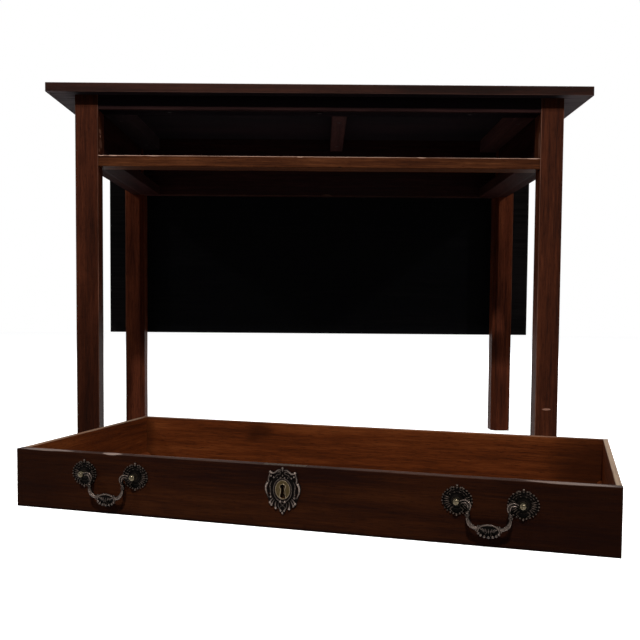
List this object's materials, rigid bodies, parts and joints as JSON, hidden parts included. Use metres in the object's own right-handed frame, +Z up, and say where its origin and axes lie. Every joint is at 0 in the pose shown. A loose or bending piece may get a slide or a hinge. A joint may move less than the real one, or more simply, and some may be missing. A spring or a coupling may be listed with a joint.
{
  "type": "drop-leaf writing table",
  "caption": "Drop-leaf writing table with square legs, a rule-jointed rear leaf hanging down and a brass-mounted drawer lifted out and stood on the floor in front.",
  "frame": {"origin": "on the floor, under the middle of the table and the standing drawer together", "axes": "+Z up, +Y from the drawer front towards the hanging leaf, +X to the right of a person who faces the drawer opening"},
  "size_m": [1.068, 1.1414, 0.74],
  "materials": {
    "top_wood": "satin",
    "frame_wood": "satin",
    "inner_wood": "matte",
    "front_wood": "satin",
    "drawer_lining": "matte",
    "brass": "worn",
    "lock_metal": "worn",
    "steel": "worn"
  },
  "bodies": {
    "table": {"back_leg_left": "frame_wood", "back_leg_right": "frame_wood", "back_rail": "inner_wood", "drawer_guide_left": "inner_wood", "drawer_guide_right": "inner_wood", "drawer_runner_left": "inner_wood", "drawer_runner_right": "inner_wood", "drawer_stops": "inner_wood", "fly_bracket_left": "inner_wood", "fly_bracket_pins": "steel", "fly_bracket_right": "inner_wood", "fly_rail": "inner_wood", "fly_rail_screws": "steel", "front_leg_left": "frame_wood", "front_leg_right": "frame_wood", "hinge_pin_left": "steel", "hinge_pin_middle": "steel", "hinge_pin_right": "steel", "hinge_plate_top_left": "steel", "hinge_plate_top_middle": "steel", "hinge_plate_top_right": "steel", "hinge_screws_top": "steel", "kicker_left": "inner_wood", "kicker_middle": "inner_wood", "kicker_right": "inner_wood", "lower_front_rail": "frame_wood", "side_rail_left": "inner_wood", "side_rail_right": "inner_wood", "table_top": "top_wood", "top_screws": "steel", "upper_front_rail": "frame_wood"},
    "leaf": {"drop_leaf": "top_wood", "hinge_plate_leaf_left": "steel", "hinge_plate_leaf_middle": "steel", "hinge_plate_leaf_right": "steel", "hinge_screws_leaf": "steel"},
    "drawer": {"drawer_back": "drawer_lining", "drawer_bottom": "drawer_lining", "drawer_bottom_screws": "steel", "drawer_front": "front_wood", "drawer_side_left": "drawer_lining", "drawer_side_right": "drawer_lining", "drawer_slip_left": "drawer_lining", "drawer_slip_right": "drawer_lining", "escutcheon": "brass", "escutcheon_pins": "brass", "keyhole_plate": "brass", "lock_case": "lock_metal", "lock_screws": "steel", "pull_nuts": "brass", "pull_posts_left": "brass", "pull_posts_right": "brass", "pull_rosettes_left": "brass", "pull_rosettes_right": "brass"},
    "left_bail": {"bail_left": "brass"},
    "right_bail": {"bail_right": "brass"},
    "bolt": {"lock_bolt": "lock_metal"}
  },
  "joints": [
    {"name": "leaf_hinge", "type": "hinge", "parent": "table", "child": "leaf", "pos_m": [0, 0.55588, 0.7252], "axis": [1, 0, 0], "range_deg": [0, 90]},
    {"name": "drawer_lift", "type": "slide", "parent": "table", "child": "drawer", "axis": [0, 0, 1], "range_m": [0, 0.6048]},
    {"name": "left_bail_swing", "type": "hinge", "parent": "drawer", "child": "left_bail", "pos_m": [-0.306, -0.37956, 0.0585], "axis": [-0.9588, 0.284, 0], "range_deg": [0, 90]},
    {"name": "right_bail_swing", "type": "hinge", "parent": "drawer", "child": "right_bail", "pos_m": [0.22135, -0.53577, 0.0585], "axis": [-0.9588, 0.284, 0], "range_deg": [0, 90]},
    {"name": "bolt_throw", "type": "slide", "parent": "drawer", "child": "bolt", "axis": [0, 0, 1], "range_m": [0, 0.008]}
  ]
}
